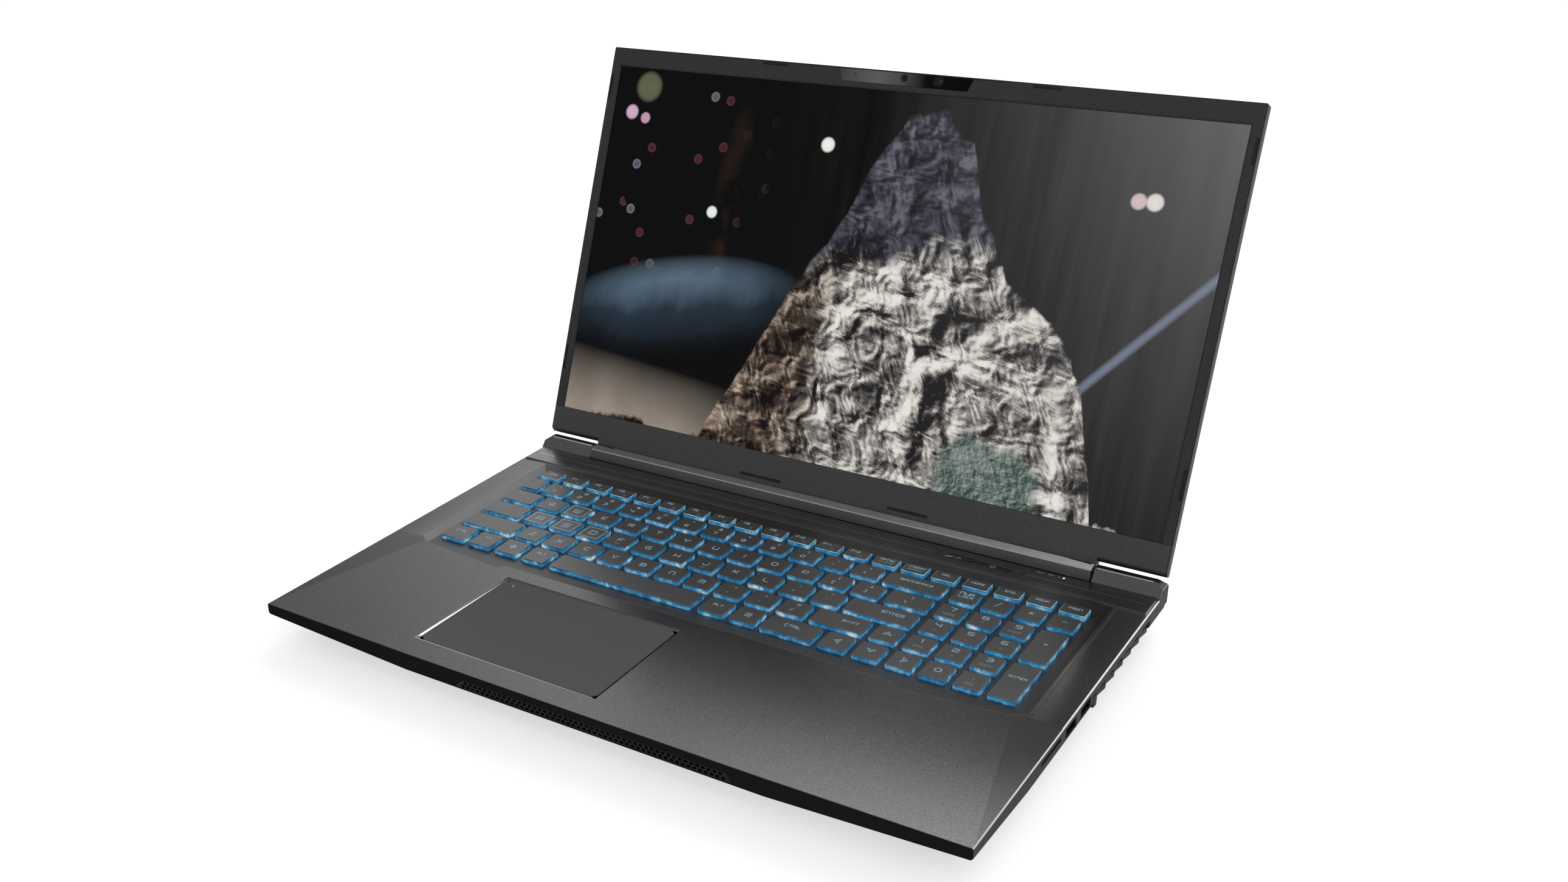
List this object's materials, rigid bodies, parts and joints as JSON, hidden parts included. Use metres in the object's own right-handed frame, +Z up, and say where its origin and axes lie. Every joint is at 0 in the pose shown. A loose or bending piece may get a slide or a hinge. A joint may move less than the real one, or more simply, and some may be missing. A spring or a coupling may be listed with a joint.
{
  "type": "laptop computer",
  "caption": "Clamshell laptop computer with a raised centre hinge bar, backlit full-size keyboard with number pad, offset touchpad and a wide thin-framed screen.",
  "frame": {"origin": "centre of the middle rubber foot's underside, on the table plane, at the middle of the base footprint", "axes": "+X to the user's right, +Y to the rear (hinge side), +Z up"},
  "size_m": [0.3968, 0.3427, 0.2587],
  "materials": {
    "deck_metal": "fine-grained matte graphite coat with bright cut edges",
    "base_plastic": "dark fine-textured moulding",
    "black_mesh": "black perforated grille",
    "vent_plastic": "satin dark grey fins",
    "sheet_metal": "plain stamped sheet",
    "silicone": "translucent silicone",
    "circuit_board": "green solder mask",
    "chip_package": "dark package with polished die",
    "copper": "drawn copper",
    "fan_plastic": "moulded black",
    "battery_wrap": "black shrink film",
    "port_steel": "stamped connector shell",
    "port_plastic": "moulded insulator",
    "foot_rubber": "black rubber",
    "screw_steel": "blackened steel",
    "hinge_steel": "stamped steel",
    "touchpad_surface": "smooth satin film",
    "lid_metal": "graphite coated metal",
    "bezel_plastic": "fine spark-eroded texture",
    "screen_panel": "lit display panel",
    "bar_metal": "graphite coat",
    "camera_glass": "polished black window",
    "cable_jacket": "flat cable jacket",
    "key_plastic": "satin black cap with blue-lit translucent skirt"
  },
  "bodies": {
    "base": {"bottom_cover": "base_plastic", "top_case": "deck_metal", "front_grille": "black_mesh", "side_vents": "vent_plastic", "keyboard_plate": "sheet_metal", "dome_sheet": "silicone", "touchpad_bracket": "sheet_metal", "button_board": "circuit_board", "motherboard": "circuit_board", "processor_chips": "chip_package", "heat_pipes": "copper", "heatsink_fins": "sheet_metal", "fan_housings": "base_plastic", "memory_modules": "circuit_board", "ssd_module": "circuit_board", "hard_drive": "sheet_metal", "wifi_card": "sheet_metal", "battery_pack": "battery_wrap", "speakers": "base_plastic", "usb_ports": "port_steel", "card_reader": "port_steel", "lan_port": "port_plastic", "audio_jacks": "port_plastic", "rear_ports": "port_steel", "rubber_feet": "foot_rubber", "case_screws": "screw_steel", "hinge_brackets": "hinge_steel"},
    "lid": {"lid_back_cover": "lid_metal", "screen_bezel": "bezel_plastic", "lower_bezel": "bezel_plastic", "lcd_panel": "screen_panel", "hinge_bar": "bar_metal", "hinge_arms": "hinge_steel", "lid_screws": "screw_steel", "camera_window": "camera_glass", "camera_module": "circuit_board", "bezel_bumpers": "foot_rubber", "wifi_antennas": "copper", "display_cable": "cable_jacket"},
    "fan_left": {"fan_left_rotor": "fan_plastic"},
    "fan_right": {"fan_right_rotor": "fan_plastic"},
    "touchpad": {"touchpad": "touchpad_surface"},
    "power_button": {"power_button": "deck_metal"},
    "fan_mode_button": {"fan_mode_button": "deck_metal"},
    "escape_key": {"escape_key": "key_plastic"},
    "function_keys": {"function_keys": "key_plastic"},
    "number_keys": {"number_keys": "key_plastic"},
    "backspace_key": {"backspace_key": "key_plastic"},
    "upper_letter_keys": {"upper_letter_keys": "key_plastic"},
    "home_letter_keys": {"home_letter_keys": "key_plastic"},
    "enter_key": {"enter_key": "key_plastic"},
    "left_shift_key": {"left_shift_key": "key_plastic"},
    "lower_letter_keys": {"lower_letter_keys": "key_plastic"},
    "modifier_keys": {"modifier_keys": "key_plastic"},
    "space_bar": {"space_bar": "key_plastic"},
    "up_arrow_key": {"up_arrow_key": "key_plastic"},
    "left_arrow_key": {"left_arrow_key": "key_plastic"},
    "down_arrow_key": {"down_arrow_key": "key_plastic"},
    "right_arrow_key": {"right_arrow_key": "key_plastic"},
    "numpad_keys": {"numpad_keys": "key_plastic"}
  },
  "joints": [
    {"name": "lid_hinge", "type": "hinge", "parent": "base", "child": "lid", "pos_m": [0, 0.1177, 0.0265], "axis": [-1, 0, 0], "range_deg": [-110.96, 19]},
    {"name": "fan_left_spin", "type": "hinge", "parent": "base", "child": "fan_left", "pos_m": [-0.12, 0.055, 0.01], "axis": [0, 0, 1], "continuous": true},
    {"name": "fan_right_spin", "type": "hinge", "parent": "base", "child": "fan_right", "pos_m": [0.12, 0.055, 0.01], "axis": [0, 0, 1], "continuous": true},
    {"name": "touchpad_click", "type": "hinge", "parent": "base", "child": "touchpad", "pos_m": [-0.0517, -0.0438, 0.0227], "axis": [1, 0, 0], "range_deg": [0, 0.5]},
    {"name": "power_press", "type": "slide", "parent": "base", "child": "power_button", "axis": [0, 0, -1], "range_m": [0, 0.0005]},
    {"name": "fan_mode_press", "type": "slide", "parent": "base", "child": "fan_mode_button", "axis": [0, 0, -1], "range_m": [0, 0.0005]},
    {"name": "escape_key_press", "type": "slide", "parent": "base", "child": "escape_key", "axis": [0, 0, -1], "range_m": [0, 0.0016]},
    {"name": "function_keys_press", "type": "slide", "parent": "base", "child": "function_keys", "axis": [0, 0, -1], "range_m": [0, 0.0016]},
    {"name": "number_keys_press", "type": "slide", "parent": "base", "child": "number_keys", "axis": [0, 0, -1], "range_m": [0, 0.0016]},
    {"name": "backspace_key_press", "type": "slide", "parent": "base", "child": "backspace_key", "axis": [0, 0, -1], "range_m": [0, 0.0016]},
    {"name": "upper_letter_keys_press", "type": "slide", "parent": "base", "child": "upper_letter_keys", "axis": [0, 0, -1], "range_m": [0, 0.0016]},
    {"name": "home_letter_keys_press", "type": "slide", "parent": "base", "child": "home_letter_keys", "axis": [0, 0, -1], "range_m": [0, 0.0016]},
    {"name": "enter_key_press", "type": "slide", "parent": "base", "child": "enter_key", "axis": [0, 0, -1], "range_m": [0, 0.0016]},
    {"name": "left_shift_key_press", "type": "slide", "parent": "base", "child": "left_shift_key", "axis": [0, 0, -1], "range_m": [0, 0.0016]},
    {"name": "lower_letter_keys_press", "type": "slide", "parent": "base", "child": "lower_letter_keys", "axis": [0, 0, -1], "range_m": [0, 0.0016]},
    {"name": "modifier_keys_press", "type": "slide", "parent": "base", "child": "modifier_keys", "axis": [0, 0, -1], "range_m": [0, 0.0016]},
    {"name": "space_bar_press", "type": "slide", "parent": "base", "child": "space_bar", "axis": [0, 0, -1], "range_m": [0, 0.0016]},
    {"name": "up_arrow_key_press", "type": "slide", "parent": "base", "child": "up_arrow_key", "axis": [0, 0, -1], "range_m": [0, 0.0016]},
    {"name": "left_arrow_key_press", "type": "slide", "parent": "base", "child": "left_arrow_key", "axis": [0, 0, -1], "range_m": [0, 0.0016]},
    {"name": "down_arrow_key_press", "type": "slide", "parent": "base", "child": "down_arrow_key", "axis": [0, 0, -1], "range_m": [0, 0.0016]},
    {"name": "right_arrow_key_press", "type": "slide", "parent": "base", "child": "right_arrow_key", "axis": [0, 0, -1], "range_m": [0, 0.0016]},
    {"name": "numpad_keys_press", "type": "slide", "parent": "base", "child": "numpad_keys", "axis": [0, 0, -1], "range_m": [0, 0.0016]}
  ]
}
